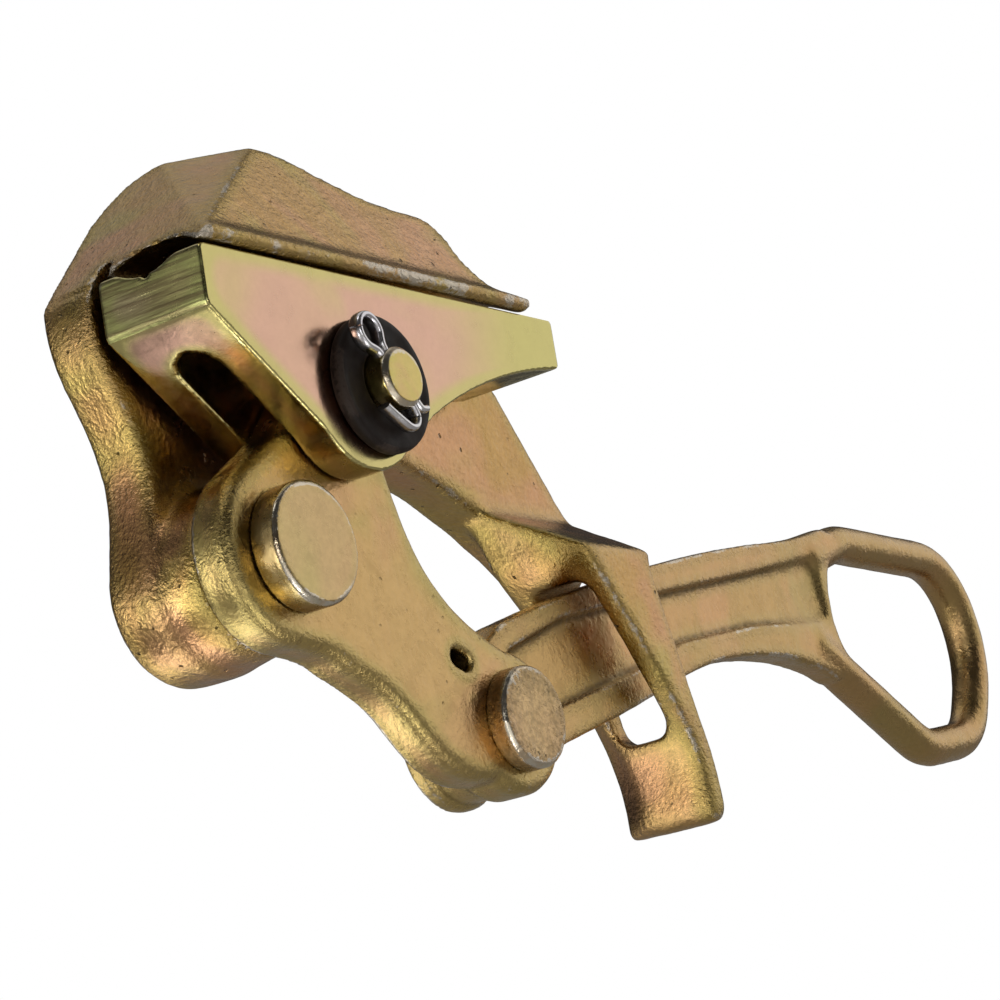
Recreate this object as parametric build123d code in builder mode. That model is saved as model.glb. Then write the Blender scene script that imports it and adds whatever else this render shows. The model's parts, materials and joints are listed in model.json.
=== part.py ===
"""Parallel-jaw cable pulling grip, forged steel, for cable of about 10 to 19 mm.

Frame: X runs along the gripped cable towards the pulling eye, Z points up from the moving
jaw to the fixed hood, and Y points from the open front of the hood to the back plate.
The origin lies on the cable seat, straight above the moving jaw's pin. Millimetres.
"""
from math import cos, hypot, radians, sin
import os

from build123d import *

os.makedirs("parts", exist_ok=True)

# ---------------------------------------------------------------- driving dimensions
JAW_LENGTH = 127.0            # five inch jaw
JAW_LEFT_X = -52.2            # the jaw pin sits 52.2 mm from the jaw's tail end
JAW_FRONT_Y = -16.0
JAW_REAR_Y = 13.2
JAW_END_HEIGHT = 13.6
JAW_TIP_HEIGHT = 12.0
JAW_SLOT_FRONT_Y = -6.8
JAW_SLOT_REAR_Y = 4.4
JAW_TOP_PLATE = 12.6          # what is left of the jaw above its slot

LEVER_PIVOT = (-24.5, -61.8)  # X and Z of the three pins
SHANK_PIVOT = (47.7, -96.3)
JAW_PIVOT = (0.0, -25.6)

LEVER_FRONT_Y = -6.4
LEVER_REAR_Y = 4.0
FORK_FRONT_Y = 0.4            # the fork's slot, which the shank's end turns in
FORK_REAR_Y = 11.6
FORK_BACK_Y = 15.4
LEVER_PIVOT_EYE_R = 20.8
SHANK_PIVOT_EYE_R = 17.0
JAW_PIVOT_EYE_R = 11.2
FORK_CHEEK_R = 17.1
FORK_WEB_R = 15.8             # the web that closes the fork round the shank's end
FORK_POCKET_R = 13.8
SHANK_END_R = 13.0

PLATE_FRONT_Y = 16.0          # the body's back plate
PLATE_REAR_Y = 30.0
BOSS_CENTRE = (-23.4, -63.4)  # a little low of the pin, for more metal below it
BOSS_FRONT_Y = 4.7
BOSS_FRONT_R = 18.6
BOSS_REAR_R = 20.4
LIP_FRONT_Y = -18.0
LIP_REAR_Y = -15.2
LIP_BOTTOM_Z = 0.6
SEAT_TOP_Z = 4.8

LOOP_FRONT_Y = -7.2           # the guide loop round the shank
WINDOW_FRONT_Y = -1.0
WINDOW_REAR_Y = 14.6
LOOP_REAR_Y = 22.0

SHANK_FRONT_Y = 2.5
SHANK_REAR_Y = 11.0
EYE_BAR = 11.0
SHANK_RECESS = 1.8

RUNNING_GAP = 0.05            # radial clearance of a pin in the part that turns on it
LEVER_PIN_R = 11.0
LEVER_PIN_HEAD_R = 13.84
LEVER_PIN_PROUD = 7.2
SHANK_PIN_R = 9.0
SHANK_PIN_HEAD_R = 12.0
SHANK_PIN_PROUD = 5.3
JAW_PIN_R = 6.9
JAW_PIN_HEAD_R = 9.8
JAW_PIN_HEAD = 3.0
JAW_PIN_END_Y = -25.2
WASHER_R = 15.8
WASHER_THICKNESS = 3.6
WASHER_REAR_Y = -16.3
SPLIT_PIN_D = 3.2
SPLIT_PIN_Y = -22.3
SPLIT_PIN_TURN = 128.7        # degrees from +X to the split pin's loop
SPLIT_PIN_WIRE = 1.5
RIVET_HEIGHT = 2.0
FACE_GAP = 0.3                # between faces that slide past each other
FORGED_EDGE_R = 3.0


def at_depth(y):
    """The plane of a side view at depth y; a positive extrude goes to the front."""
    return Plane.XZ.offset(-y)


def along_arm(u, v):
    """A point u along the line from lever pivot to shank pivot, and v above that line."""
    span_x = SHANK_PIVOT[0] - LEVER_PIVOT[0]
    span_z = SHANK_PIVOT[1] - LEVER_PIVOT[1]
    span = hypot(span_x, span_z)
    c = span_x / span
    s = span_z / span
    return (LEVER_PIVOT[0] + u * c - v * s, LEVER_PIVOT[1] + u * s + v * c)


def plane_through(a, b, c):
    """The plane through three points, facing along the turn from a over b to c."""
    first = Vector(*b) - Vector(*a)
    second = Vector(*c) - Vector(*a)
    return Plane(origin=a, x_dir=first, z_dir=first.cross(second))


# ---------------------------------------------------------------- body forging
HOOD_PEAK_Z = 32.2
END_FRONT_LOW = (-49.9, -16.0, 3.7)      # corners of the hood's sloping end
END_FRONT_PEAK = (-13.7, -3.0, HOOD_PEAK_Z)
END_BACK_PEAK = (-24.0, 14.0, HOOD_PEAK_Z)
END_BACK_LOW = (-51.0, 29.0, -0.2)
LOOP_BEVEL_Y = 13.0
LOOP_BEVEL = 5.4
WINDOW_SECTIONS = ((70.0, -98.0, -64.2), (140.0, -95.8, -47.4))    # X, bottom Z, top Z
WINDOW_BOTTOM_R = 4.2
WINDOW_TOP_R = 2.4


def loop_outline(bevel):
    """Side view of the guide loop's leaning bar, its lower left edge set in by bevel."""
    with BuildSketch() as outline:
        with BuildLine():
            Spline((84.0, -48.0), (92.5 + 0.4 * bevel, -60.6), (108.0 + bevel, -80.9),
                   (119.4 + bevel, -99.5), (122.0 + bevel, -115.0),
                   tangents=[(0.4, -1), (0.05, -1)])
            ThreePointArc((122.0 + bevel, -115.0), (126.4 + bevel / 2, -119.6),
                          (130.8, -115.0))
            Spline((130.8, -115.0), (127.0, -97.8), (120.2, -74.0), (114.8, -56.0),
                   tangents=[(0, 1), (-0.3, 1)])
            Polyline((114.8, -56.0), (117.6, -38.4), (78.0, -38.4), (84.0, -48.0))
        make_face()
    return outline.sketch


def window_section(bottom, top):
    """The window's cross-section between two heights, rounder at the bottom."""
    left = WINDOW_FRONT_Y
    right = WINDOW_REAR_Y
    with BuildSketch() as section:
        with BuildLine():
            Line((left, bottom + WINDOW_BOTTOM_R), (left, top - WINDOW_TOP_R))
            RadiusArc((left, top - WINDOW_TOP_R), (left + WINDOW_TOP_R, top), WINDOW_TOP_R)
            Line((left + WINDOW_TOP_R, top), (right - WINDOW_TOP_R, top))
            RadiusArc((right - WINDOW_TOP_R, top), (right, top - WINDOW_TOP_R), WINDOW_TOP_R)
            Line((right, top - WINDOW_TOP_R), (right, bottom + WINDOW_BOTTOM_R))
            RadiusArc((right, bottom + WINDOW_BOTTOM_R), (right - WINDOW_BOTTOM_R, bottom),
                      WINDOW_BOTTOM_R)
            Line((right - WINDOW_BOTTOM_R, bottom), (left + WINDOW_BOTTOM_R, bottom))
            RadiusArc((left + WINDOW_BOTTOM_R, bottom), (left, bottom + WINDOW_BOTTOM_R),
                      WINDOW_BOTTOM_R)
        make_face()
    return section.sketch


with BuildPart() as body:
    # hood: the side profile, cut to the hood's cross-section and to its sloping end
    with BuildSketch(at_depth(PLATE_REAR_Y)):
        with BuildLine():
            Polyline((-53.5, LIP_BOTTOM_Z), (-53.5, HOOD_PEAK_Z), (-7.0, HOOD_PEAK_Z))
            Spline((-7.0, HOOD_PEAK_Z), (10.0, 27.6), (26.0, 24.2), (40.0, 23.7),
                   tangents=[(1, -0.15), (1, -0.05)])
            Spline((40.0, 23.7), (46.6, 17.5), (48.0, 12.0), (53.6, 5.6), (62.6, 3.9),
                   tangents=[(1, -0.2), (1, -0.1)])
            ThreePointArc((62.6, 3.9), (64.5, 2.2), (62.9, LIP_BOTTOM_Z))
            Line((62.9, LIP_BOTTOM_Z), (-53.5, LIP_BOTTOM_Z))
        make_face()
    extrude(amount=PLATE_REAR_Y - LIP_FRONT_Y)
    with BuildSketch(Plane.YZ.offset(-60)):
        with BuildLine():
            Polyline((LIP_FRONT_Y + 1.2, LIP_BOTTOM_Z), (LIP_FRONT_Y, 1.8), (LIP_FRONT_Y, 3.2))
            Spline((LIP_FRONT_Y, 3.2), (-15.6, 5.4), (-13.6, 9.0),
                   tangents=[(0.5, 0.8), (0.42, 0.9)])
            Polyline((-13.6, 9.0), (-3.0, HOOD_PEAK_Z), (16.0, HOOD_PEAK_Z))
            ThreePointArc((16.0, HOOD_PEAK_Z), (25.9, 28.1), (PLATE_REAR_Y, 18.2))
            Polyline((PLATE_REAR_Y, 18.2), (PLATE_REAR_Y, LIP_BOTTOM_Z),
                     (LIP_FRONT_Y + 1.2, LIP_BOTTOM_Z))
        make_face()
    extrude(amount=140, mode=Mode.INTERSECT)
    split(bisect_by=plane_through(END_FRONT_LOW, END_FRONT_PEAK, END_BACK_PEAK),
          keep=Keep.BOTTOM)
    split(bisect_by=plane_through(END_FRONT_LOW, END_BACK_PEAK, END_BACK_LOW),
          keep=Keep.BOTTOM)

    # back plate, with the arm that reaches out to the guide loop
    with BuildSketch(at_depth(PLATE_REAR_Y)):
        with BuildLine():
            Spline((-51.4, -1.0), (-53.0, -8.0), (-45.8, -26.5), (-41.2, -43.0),
                   (-43.4, -58.0), (-44.4, -66.0), (-37.6, -79.4), (-23.0, -84.2),
                   (-8.0, -78.4), (3.0, -65.0), (14.0, -50.0), (28.0, -37.0),
                   (47.6, -28.0), tangents=[(-0.6, -1), (1, -0.25)])
            Polyline((47.6, -28.0), (66.0, -34.0), (80.0, -40.2), (94.4, -48.0),
                     (108.6, -58.0), (117.6, -54.0), (117.4, -38.5), (104.3, -20.1),
                     (94.4, -6.4), (66.0, 14.0), (47.0, 22.0), (30.0, 23.5), (-20.0, 25.0),
                     (-32.0, 17.0), (-46.0, 4.6), (-51.4, -1.0))
        make_face()
    extrude(amount=PLATE_REAR_Y - PLATE_FRONT_Y)

    # lever boss, widening to the back, with a flat that clears the jaw when it is wide open
    with BuildSketch(at_depth(BOSS_FRONT_Y)):
        with Locations(BOSS_CENTRE):
            Circle(BOSS_FRONT_R)
    with BuildSketch(at_depth(PLATE_FRONT_Y + 2)):
        with Locations(BOSS_CENTRE):
            Circle(BOSS_REAR_R)
    loft()
    with BuildSketch(at_depth(JAW_REAR_Y + 1)):
        with BuildLine():
            Polyline((-3.7, -56.9), (-37.4, -33.1), (-28.0, -24.0), (6.0, -48.0), close=True)
        make_face()
    extrude(amount=JAW_REAR_Y + 1 - BOSS_FRONT_Y, mode=Mode.SUBTRACT)

    # guide loop: a leaning bar, bevelled at the back, with a shoulder that rises to the arm
    with BuildSketch(at_depth(LOOP_BEVEL_Y)):
        add(loop_outline(0.0))
    extrude(amount=LOOP_BEVEL_Y - LOOP_FRONT_Y)
    with BuildSketch(at_depth(LOOP_REAR_Y)):
        add(loop_outline(LOOP_BEVEL))
    with BuildSketch(at_depth(LOOP_BEVEL_Y)):
        add(loop_outline(0.0))
    loft()
    with BuildSketch(Plane.YZ.offset(76)):
        with BuildLine():
            Polyline((LOOP_FRONT_Y - 2, -52.6), (PLATE_FRONT_Y, -38.4), (PLATE_FRONT_Y, -20),
                     (LOOP_FRONT_Y - 2, -20), close=True)
        make_face()
    extrude(amount=50, mode=Mode.SUBTRACT)

    # cable seat: a long shallow arch, a thin land behind it, and room for the jaw's back
    with BuildSketch(Plane.YZ.offset(-70)):
        with BuildLine():
            ThreePointArc((LIP_REAR_Y, 0.4), (-1.0, SEAT_TOP_Z), (11.0, 2.0))
            Polyline((11.0, 2.0), (10.6, 0.6), (11.5, 0.6), (12.3, 4.6), (14.4, 5.4),
                     (PLATE_FRONT_Y, 4.0), (PLATE_FRONT_Y, -3.0), (LIP_REAR_Y, -3.0),
                     (LIP_REAR_Y, 0.4))
        make_face()
    extrude(amount=150, mode=Mode.SUBTRACT)

    # window for the shank: a tunnel along X with round corners, taller to the right
    for x, bottom, top in WINDOW_SECTIONS:
        with BuildSketch(Plane.YZ.offset(x)):
            add(window_section(bottom, top))
    loft(mode=Mode.SUBTRACT)

    # hole for the lever pin
    with BuildSketch(at_depth(PLATE_REAR_Y)):
        with Locations(LEVER_PIVOT):
            Circle(LEVER_PIN_R)
    extrude(amount=PLATE_REAR_Y - BOSS_FRONT_Y, mode=Mode.SUBTRACT)
body.part.label = "body_forging"
export_step(body.part, "parts/body_forging.step")


# ---------------------------------------------------------------- moving jaw
JAW_RIGHT_X = JAW_LEFT_X + JAW_LENGTH
JAW_CHIN_Z = -44.8            # lowest point of the cheeks, under the pin
GROOVE_DEPTH = 2.4
GROOVE_HALF = 8.4
RELIEF_R = 1.2

with BuildPart() as moving_jaw:
    with BuildSketch(at_depth(JAW_REAR_Y)):
        with BuildLine():
            Polyline((-18.5, -37.4), (JAW_LEFT_X, -JAW_END_HEIGHT), (JAW_LEFT_X, 0),
                     (JAW_RIGHT_X, 0), (JAW_RIGHT_X, -JAW_TIP_HEIGHT))
            ThreePointArc((JAW_RIGHT_X, -JAW_TIP_HEIGHT), (46.5, -18.4), (20.5, -30.2))
            Line((20.5, -30.2), (8.5, -39.9))
            ThreePointArc((8.5, -39.9), (-4.2, JAW_CHIN_Z), (-18.5, -37.4))
        make_face()
    extrude(amount=JAW_REAR_Y - JAW_FRONT_Y)
    chamfer(moving_jaw.edges().filter_by(Axis.Y), 0.8)

    # cable groove with a narrow relief along its bottom
    with BuildSketch(Plane.YZ.offset(JAW_LEFT_X - 5)):
        with BuildLine():
            ThreePointArc((-GROOVE_HALF, 0), (0, -GROOVE_DEPTH), (GROOVE_HALF, 0))
            Line((GROOVE_HALF, 0), (-GROOVE_HALF, 0))
        make_face()
        with Locations((0, -GROOVE_DEPTH + 0.4)):
            Circle(RELIEF_R)
    extrude(amount=JAW_LENGTH + 10, mode=Mode.SUBTRACT)

    # slot for the lever, with a round end at the tail
    with BuildSketch(Plane.XY.offset(JAW_CHIN_Z - 5)):
        slot_width = JAW_SLOT_REAR_Y - JAW_SLOT_FRONT_Y
        with Locations((-6.6, (JAW_SLOT_FRONT_Y + JAW_SLOT_REAR_Y) / 2)):
            SlotOverall(74, slot_width)
    extrude(amount=-JAW_CHIN_Z + 5 - JAW_TOP_PLATE, mode=Mode.SUBTRACT)

    # pin hole, and a sunk seat for the pin's head in the rear cheek
    with BuildSketch(at_depth(JAW_REAR_Y)):
        with Locations(JAW_PIVOT):
            Circle(JAW_PIN_R + RUNNING_GAP)
    extrude(amount=JAW_REAR_Y - JAW_FRONT_Y, mode=Mode.SUBTRACT)
    with BuildSketch(at_depth(JAW_REAR_Y)):
        with Locations(JAW_PIVOT):
            Circle(JAW_PIN_HEAD_R + 0.4)
    extrude(amount=JAW_PIN_HEAD + 2 * FACE_GAP, mode=Mode.SUBTRACT)
moving_jaw.part.label = "moving_jaw"
export_step(moving_jaw.part, "parts/moving_jaw.step")


# ---------------------------------------------------------------- lever
PEEP_HOLE = along_arm(58.3, 4.4)


def fork_outline(radius):
    """Side view of the fork's rear cheek: an eye round the shank pin and its root."""
    with BuildSketch() as outline:
        with BuildLine():
            Polyline(along_arm(41, 2), along_arm(41, 17), along_arm(70, 16),
                     along_arm(80, radius), SHANK_PIVOT, along_arm(68, -12), along_arm(54, 1),
                     close=True)
        make_face()
        with Locations(SHANK_PIVOT):
            Circle(radius)
    return outline.sketch


with BuildPart() as lever:
    with BuildSketch(at_depth(LEVER_REAR_Y)):
        with BuildLine():
            Spline((11.0, -27.0), (14.2, -42.0), (18.3, -54.0), (26.5, -66.5), (41.5, -76.5),
                   (57.6, -82.5), tangents=[(0.15, -1), (1, -0.35)])
            Line((57.6, -82.5), SHANK_PIVOT)
            Line(SHANK_PIVOT, (38.0, -110.2))
            Spline((38.0, -110.2), (24.6, -108.9), (13.5, -101.9), (3.0, -92.6),
                   (-10.0, -86.6), (-27.0, -82.4), tangents=[(-1, -0.1), (-1, 0.1)])
            Polyline((-27.0, -82.4), LEVER_PIVOT, (-43.0, -52.4), (-35.4, -44.0),
                     (-22.0, -34.8), (-10.6, -22.0), JAW_PIVOT, (11.0, -27.0))
        make_face()
        with Locations(JAW_PIVOT):
            Circle(JAW_PIVOT_EYE_R)
        with Locations(LEVER_PIVOT):
            Circle(LEVER_PIVOT_EYE_R)
        with Locations(SHANK_PIVOT):
            Circle(SHANK_PIVOT_EYE_R)
    extrude(amount=LEVER_REAR_Y - LEVER_FRONT_Y)
    fillet(lever.faces().sort_by(Axis.Y)[0].outer_wire().edges(), FORGED_EDGE_R)

    # rear cheek of the fork
    with BuildSketch(at_depth(FORK_BACK_Y)):
        add(fork_outline(FORK_CHEEK_R))
    extrude(amount=FORK_BACK_Y - FORK_REAR_Y)

    # web between the cheeks, and the pocket in it that the shank's end turns in
    with BuildSketch(at_depth(FORK_REAR_Y)):
        add(fork_outline(FORK_WEB_R))
    extrude(amount=FORK_REAR_Y - FORK_FRONT_Y)
    with BuildSketch(at_depth(FORK_REAR_Y)):
        with Locations(SHANK_PIVOT):
            Circle(FORK_POCKET_R)
        with BuildLine():
            Polyline(SHANK_PIVOT, (34.0, -94.6), (37.0, -70.0), (80.0, -70.0), (80.0, -125.0),
                     (53.4, -125.0), (52.6, -109.0), SHANK_PIVOT)
        make_face()
    extrude(amount=FORK_REAR_Y - FORK_FRONT_Y, mode=Mode.SUBTRACT)

    # pin holes and the small drain hole beside the fork
    with BuildSketch(at_depth(FORK_BACK_Y)):
        with Locations(JAW_PIVOT):
            Circle(JAW_PIN_R + RUNNING_GAP)
        with Locations(LEVER_PIVOT):
            Circle(LEVER_PIN_R + RUNNING_GAP)
        with Locations(SHANK_PIVOT):
            Circle(SHANK_PIN_R)
    extrude(amount=FORK_BACK_Y - LEVER_FRONT_Y, mode=Mode.SUBTRACT)
    with BuildSketch(at_depth(FORK_REAR_Y)):
        with Locations(PEEP_HOLE):
            SlotOverall(7.6, 4.2, rotation=-18)
    extrude(amount=FORK_REAR_Y - LEVER_FRONT_Y, mode=Mode.SUBTRACT)
lever.part.label = "lever"
export_step(lever.part, "parts/lever.step")


# ---------------------------------------------------------------- pulling shank with its eye
EYE_CENTRE_Y = (SHANK_FRONT_Y + SHANK_REAR_Y) / 2
EYE_CORNERS = [(212.0, -43.4), (232.0, -37.0), (291.0, -38.2), (304.2, -64.0),
               (291.0, -90.8), (262.0, -94.8), (208.0, -67.0)]
EYE_RADII = [20.0, 22.0, 30.0, 18.0, 20.0]

with BuildPart() as pull_shank:
    with BuildSketch(at_depth(SHANK_REAR_Y)):
        with BuildLine():
            Spline((60.0, -70.6), (70.5, -67.3), (88.7, -61.8), (128.0, -51.9),
                   (177.6, -42.4), (205.0, -38.0), (222.0, -33.8),
                   tangents=[(1, 0.32), (1, 0.25)])
            Line((222.0, -33.8), (226.0, -37.0))
            Spline((226.0, -37.0), (219.4, -50.0), (218.8, -60.0), (224.0, -72.0),
                   tangents=[(-0.6, -1), (0.6, -1)])
            Line((224.0, -72.0), (216.0, -77.6))
            Spline((216.0, -77.6), (203.0, -74.2), (190.0, -72.6), (173.0, -72.8),
                   (152.7, -75.6), (127.0, -83.5), (107.3, -90.3), (72.0, -101.5),
                   (64.0, -104.6), tangents=[(-1, 0.4), (-1, -0.35)])
            Polyline((64.0, -104.6), (51.8, -108.6), SHANK_PIVOT, (39.8, -85.9), (60.0, -70.6))
        make_face()
        with Locations(SHANK_PIVOT):
            Circle(SHANK_END_R)
    extrude(amount=SHANK_REAR_Y - SHANK_FRONT_Y)

    # eye: a round bar bent to a D
    with BuildLine(at_depth(EYE_CENTRE_Y)) as eye_path:
        FilletPolyline(*EYE_CORNERS, radius=EYE_RADII)
    with BuildSketch(Plane(origin=eye_path.line @ 0, z_dir=eye_path.line % 0)):
        Circle(EYE_BAR / 2)
    sweep(path=eye_path.line)

    # shallow panels on both faces
    for depth_face, direction in ((SHANK_FRONT_Y, -1), (SHANK_REAR_Y, 1)):
        with BuildSketch(at_depth(depth_face)):
            with BuildLine():
                FilletPolyline((60.5, -77.4), (86.4, -67.6), (131.4, -58.6), (174.9, -50.5),
                               (212.5, -43.2), (215.8, -60.8), (175.1, -64.6),
                               (139.2, -71.0), (112.5, -80.4), (62.0, -95.2),
                               radius=3.0, close=True)
            make_face()
        extrude(amount=direction * SHANK_RECESS, mode=Mode.SUBTRACT)

    with BuildSketch(at_depth(SHANK_REAR_Y)):
        with Locations(SHANK_PIVOT):
            Circle(SHANK_PIN_R + RUNNING_GAP)
    extrude(amount=SHANK_REAR_Y - SHANK_FRONT_Y, mode=Mode.SUBTRACT)
pull_shank.part.label = "pull_shank"
export_step(pull_shank.part, "parts/pull_shank.step")


# ---------------------------------------------------------------- pins
def round_bar(centre, radius, rear_y, front_y):
    """A round bar along Y through the side-view point centre."""
    with Locations((centre[0], (rear_y + front_y) / 2, centre[1])):
        Cylinder(radius, rear_y - front_y, rotation=(90, 0, 0))


with BuildPart() as lever_pin:
    round_bar(LEVER_PIVOT, LEVER_PIN_HEAD_R, LEVER_FRONT_Y - FACE_GAP,
              LEVER_FRONT_Y - LEVER_PIN_PROUD)
    chamfer(lever_pin.faces().sort_by(Axis.Y)[0].edges(), 0.9)
    round_bar(LEVER_PIVOT, LEVER_PIN_R, PLATE_REAR_Y, LEVER_FRONT_Y - LEVER_PIN_PROUD + 1)
    round_bar(LEVER_PIVOT, LEVER_PIN_R + 2.6, PLATE_REAR_Y + RIVET_HEIGHT, PLATE_REAR_Y)
    chamfer(lever_pin.faces().sort_by(Axis.Y)[-1].edges(), 1.2)
lever_pin.part.label = "lever_pin"
export_step(lever_pin.part, "parts/lever_pin.step")

with BuildPart() as shank_pin:
    round_bar(SHANK_PIVOT, SHANK_PIN_HEAD_R, LEVER_FRONT_Y, LEVER_FRONT_Y - SHANK_PIN_PROUD)
    chamfer(shank_pin.faces().sort_by(Axis.Y)[0].edges(), 0.9)
    round_bar(SHANK_PIVOT, SHANK_PIN_R, FORK_BACK_Y, LEVER_FRONT_Y - SHANK_PIN_PROUD + 1)
    round_bar(SHANK_PIVOT, SHANK_PIN_R + 2.4, FORK_BACK_Y + RIVET_HEIGHT, FORK_BACK_Y)
    chamfer(shank_pin.faces().sort_by(Axis.Y)[-1].edges(), 1.2)
shank_pin.part.label = "shank_pin"
export_step(shank_pin.part, "parts/shank_pin.step")

SPLIT_PIN_AXIS = (cos(radians(SPLIT_PIN_TURN)), 0, sin(radians(SPLIT_PIN_TURN)))
SPLIT_PIN_CENTRE = (JAW_PIVOT[0], SPLIT_PIN_Y, JAW_PIVOT[1])
HEAD_REAR_Y = JAW_REAR_Y - FACE_GAP

with BuildPart() as jaw_pin:
    round_bar(JAW_PIVOT, JAW_PIN_R, HEAD_REAR_Y, JAW_PIN_END_Y)
    chamfer(jaw_pin.faces().sort_by(Axis.Y)[0].edges(), 1.0)
    round_bar(JAW_PIVOT, JAW_PIN_HEAD_R, HEAD_REAR_Y, HEAD_REAR_Y - JAW_PIN_HEAD)
    with BuildSketch(Plane(origin=SPLIT_PIN_CENTRE, z_dir=SPLIT_PIN_AXIS)):
        Circle(SPLIT_PIN_D / 2)
    extrude(amount=10, both=True, mode=Mode.SUBTRACT)
jaw_pin.part.label = "jaw_pin"
export_step(jaw_pin.part, "parts/jaw_pin.step")

# split pin: a loop, two half-round legs through the pin, and two tails bent apart
with BuildPart() as split_pin:
    flat = Plane(origin=SPLIT_PIN_CENTRE, x_dir=SPLIT_PIN_AXIS, z_dir=(0, -1, 0))
    with BuildSketch(Plane(origin=SPLIT_PIN_CENTRE, z_dir=SPLIT_PIN_AXIS).offset(-8.6)):
        Circle(SPLIT_PIN_D / 2)
    extrude(amount=17.2)
    with BuildSketch(flat.offset(-1.3)):
        with Locations((12.2, 0)):
            Ellipse(5.2, 4.2)
        Polygon((8.2, -1.6), (8.2, 1.6), (10.4, 3.5), (10.4, -3.5), align=None)
        with Locations((12.6, 0)):
            Ellipse(3.5, 2.6, mode=Mode.SUBTRACT)
    extrude(amount=2.6)
    with BuildSketch(flat.offset(-1.3)):
        with BuildLine():
            ThreePointArc((-8.4, 0.8), (-11.0, 3.4), (-8.1, 6.3))
            Line((-8.1, 6.3), (-0.4, 9.8))
        with BuildLine():
            ThreePointArc((-8.4, -0.8), (-10.6, -2.0), (-11.4, -4.2))
        trace(line_width=SPLIT_PIN_WIRE)
    extrude(amount=2.6)
split_pin.part.label = "split_pin"
export_step(split_pin.part, "parts/split_pin.step")

with BuildPart() as washer:
    round_bar(JAW_PIVOT, WASHER_R, WASHER_REAR_Y, WASHER_REAR_Y - WASHER_THICKNESS)
    chamfer(washer.edges().filter_by(GeomType.CIRCLE), 0.6)
    with BuildSketch(at_depth(WASHER_REAR_Y)):
        with Locations(JAW_PIVOT):
            Circle(JAW_PIN_R + RUNNING_GAP)
    extrude(amount=WASHER_THICKNESS, mode=Mode.SUBTRACT)
washer.part.label = "washer"
export_step(washer.part, "parts/washer.step")
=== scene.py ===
"""Looks of a forged parallel-jaw cable grip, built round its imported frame.

Lengths are in metres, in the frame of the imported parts: X runs along the gripped cable towards
the pulling eye, Y from the hood's open front to the back plate, and Z up.
"""
import json
import logging
import math
from dataclasses import dataclass
from enum import Enum

import bpy
import numpy as np
from mathutils import Matrix, Vector


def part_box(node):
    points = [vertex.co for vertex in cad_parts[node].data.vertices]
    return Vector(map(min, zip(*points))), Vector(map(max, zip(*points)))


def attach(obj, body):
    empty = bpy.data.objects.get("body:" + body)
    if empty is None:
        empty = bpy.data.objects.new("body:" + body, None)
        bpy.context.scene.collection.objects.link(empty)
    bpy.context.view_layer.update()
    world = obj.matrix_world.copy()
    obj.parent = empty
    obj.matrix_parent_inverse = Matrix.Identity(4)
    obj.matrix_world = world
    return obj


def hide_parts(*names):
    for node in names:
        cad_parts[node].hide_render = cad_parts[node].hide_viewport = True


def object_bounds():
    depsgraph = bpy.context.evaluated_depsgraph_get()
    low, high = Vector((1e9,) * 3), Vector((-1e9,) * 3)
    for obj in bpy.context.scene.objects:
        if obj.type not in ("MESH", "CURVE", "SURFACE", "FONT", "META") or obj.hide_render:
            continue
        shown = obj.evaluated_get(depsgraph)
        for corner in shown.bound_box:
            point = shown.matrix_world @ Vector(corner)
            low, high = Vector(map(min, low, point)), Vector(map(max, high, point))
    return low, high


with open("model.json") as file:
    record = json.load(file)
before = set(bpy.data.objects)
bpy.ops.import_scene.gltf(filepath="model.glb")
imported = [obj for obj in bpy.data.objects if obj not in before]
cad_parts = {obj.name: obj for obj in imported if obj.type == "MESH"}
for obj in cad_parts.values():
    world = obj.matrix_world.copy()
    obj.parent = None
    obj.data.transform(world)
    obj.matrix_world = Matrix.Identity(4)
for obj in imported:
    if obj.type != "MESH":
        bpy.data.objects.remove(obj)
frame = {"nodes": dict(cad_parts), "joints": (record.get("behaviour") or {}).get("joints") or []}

logging.basicConfig(level=logging.INFO, format="%(message)s")
log = logging.getLogger("grip")

CAD_LOW, CAD_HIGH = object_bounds()
MM = 0.001
Colour = tuple[float, float, float]
PIVOTS = {joint["name"]: Vector(joint["pos_m"]) for joint in frame["joints"]}
CROSS_HOLE_Y = -22.3 * MM
CROSS_HOLE_ANGLE = math.radians(128.7)


# ---------------------------------------------------------------- bench tools
def deselect_all() -> None:
    """Leave edit mode and clear the selection."""
    if bpy.context.object and bpy.context.object.mode != "OBJECT":
        bpy.ops.object.mode_set(mode="OBJECT")
    bpy.ops.object.select_all(action="DESELECT")


def pick(piece: bpy.types.Object) -> None:
    """Make one piece the only selected and the active one."""
    deselect_all()
    piece.select_set(True)
    bpy.context.view_layer.objects.active = piece


def apply_modifier(piece: bpy.types.Object, kind: str, **settings: object) -> None:
    """Add a modifier to a piece and apply it at once.

    Args:
        piece: The mesh object to change.
        kind: Blender's name of the modifier's type.
        settings: The modifier's own properties.
    """
    pick(piece)
    modifier = piece.modifiers.new(kind.title(), kind)
    for key, value in settings.items():
        setattr(modifier, key, value)
    bpy.ops.object.modifier_apply(modifier=modifier.name)


def copy_of_node(node: str, name: str) -> bpy.types.Object:
    """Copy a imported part's mesh into a new piece, with its loose triangles merged.

    Args:
        node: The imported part's name.
        name: The new piece's name.

    Returns:
        The new mesh object, standing where the part is.
    """
    piece = bpy.data.objects.new(name, frame["nodes"][node].data.copy())
    bpy.context.scene.collection.objects.link(piece)
    piece.data.materials.clear()
    pick(piece)
    bpy.ops.object.mode_set(mode="EDIT")
    bpy.ops.mesh.select_all(action="SELECT")
    bpy.ops.mesh.remove_doubles(threshold=0.001 * MM)
    bpy.ops.object.mode_set(mode="OBJECT")
    return piece


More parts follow.
